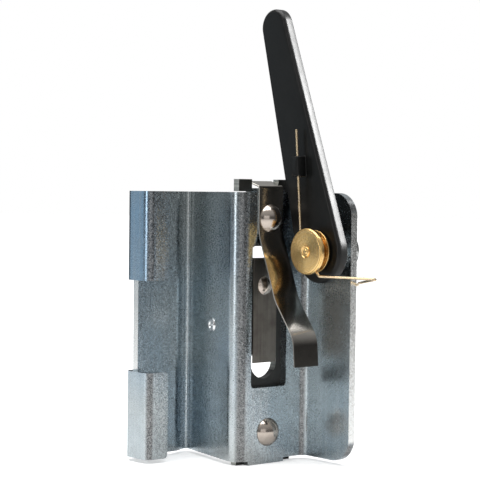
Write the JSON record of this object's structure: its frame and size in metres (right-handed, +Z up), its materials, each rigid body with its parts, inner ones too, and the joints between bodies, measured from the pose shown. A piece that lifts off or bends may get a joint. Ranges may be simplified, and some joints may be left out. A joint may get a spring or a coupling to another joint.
{
  "type": "trailer coupler lock",
  "caption": "Sheet-metal lock that hooks on an upright channel, with a slotted wall, a leaf spring catch and a sprung hand lever.",
  "frame": {"origin": "foot of the lock on the latch's centre plane: middle of the bottom tab of the slotted wall, at the level that it stands on", "axes": "+Z up along the slot and the hooked channel; +X along the flange, away from the slotted wall; the flange's face and the lever look towards -Y"},
  "size_m": [0.0846, 0.0627, 0.17],
  "materials": {
    "zinc_plate": "zinc-plated sheet with a fine speckle",
    "black_steel": "black oxide",
    "black_paint": "satin black coat",
    "polished_steel": "polished",
    "spring_steel": "mirror-polished spring steel",
    "keeper_steel": "dull rolled spring steel",
    "turned_brass": "fine turned face",
    "spring_wire": "drawn wire with a warm tint"
  },
  "bodies": {
    "frame": {"bracket": "zinc_plate", "back_plate": "black_steel", "upper_rivet": "polished_steel", "lower_rivet": "polished_steel", "keeper_rivet": "polished_steel", "wall_rivet": "zinc_plate", "pivot_pin": "turned_brass", "spool": "turned_brass", "front_washer": "zinc_plate", "spacer_bush": "zinc_plate", "rear_washer": "zinc_plate", "leaf_spring_seat": "spring_steel", "keeper_leaf_seat": "keeper_steel", "torsion_spring": "spring_wire"},
    "lever": {"lever": "black_paint", "lever_bush": "turned_brass", "spring_lug": "black_paint"},
    "leaf": {"leaf_spring_blade": "spring_steel"},
    "keeper": {"keeper_leaf_blade": "keeper_steel"}
  },
  "joints": [
    {"name": "lever_swing", "type": "hinge", "parent": "frame", "child": "lever", "pos_m": [0.0195, 0.0073, 0.0796], "axis": [0, 1, 0], "range_deg": [0, 80], "stiffness_Nm_per_rad": 0.15, "springref_deg": -28.65, "deforming": ["torsion_spring"]},
    {"name": "leaf_flex", "type": "hinge", "parent": "frame", "child": "leaf", "pos_m": [0.00195, 0, 0.08594], "axis": [0, 1, 0], "range_deg": [0, 12], "stiffness_Nm_per_rad": 1.5},
    {"name": "keeper_flex", "type": "hinge", "parent": "frame", "child": "keeper", "pos_m": [-0.00095, 0, 0.06194], "axis": [0, -1, 0], "range_deg": [0, 10], "stiffness_Nm_per_rad": 8}
  ]
}
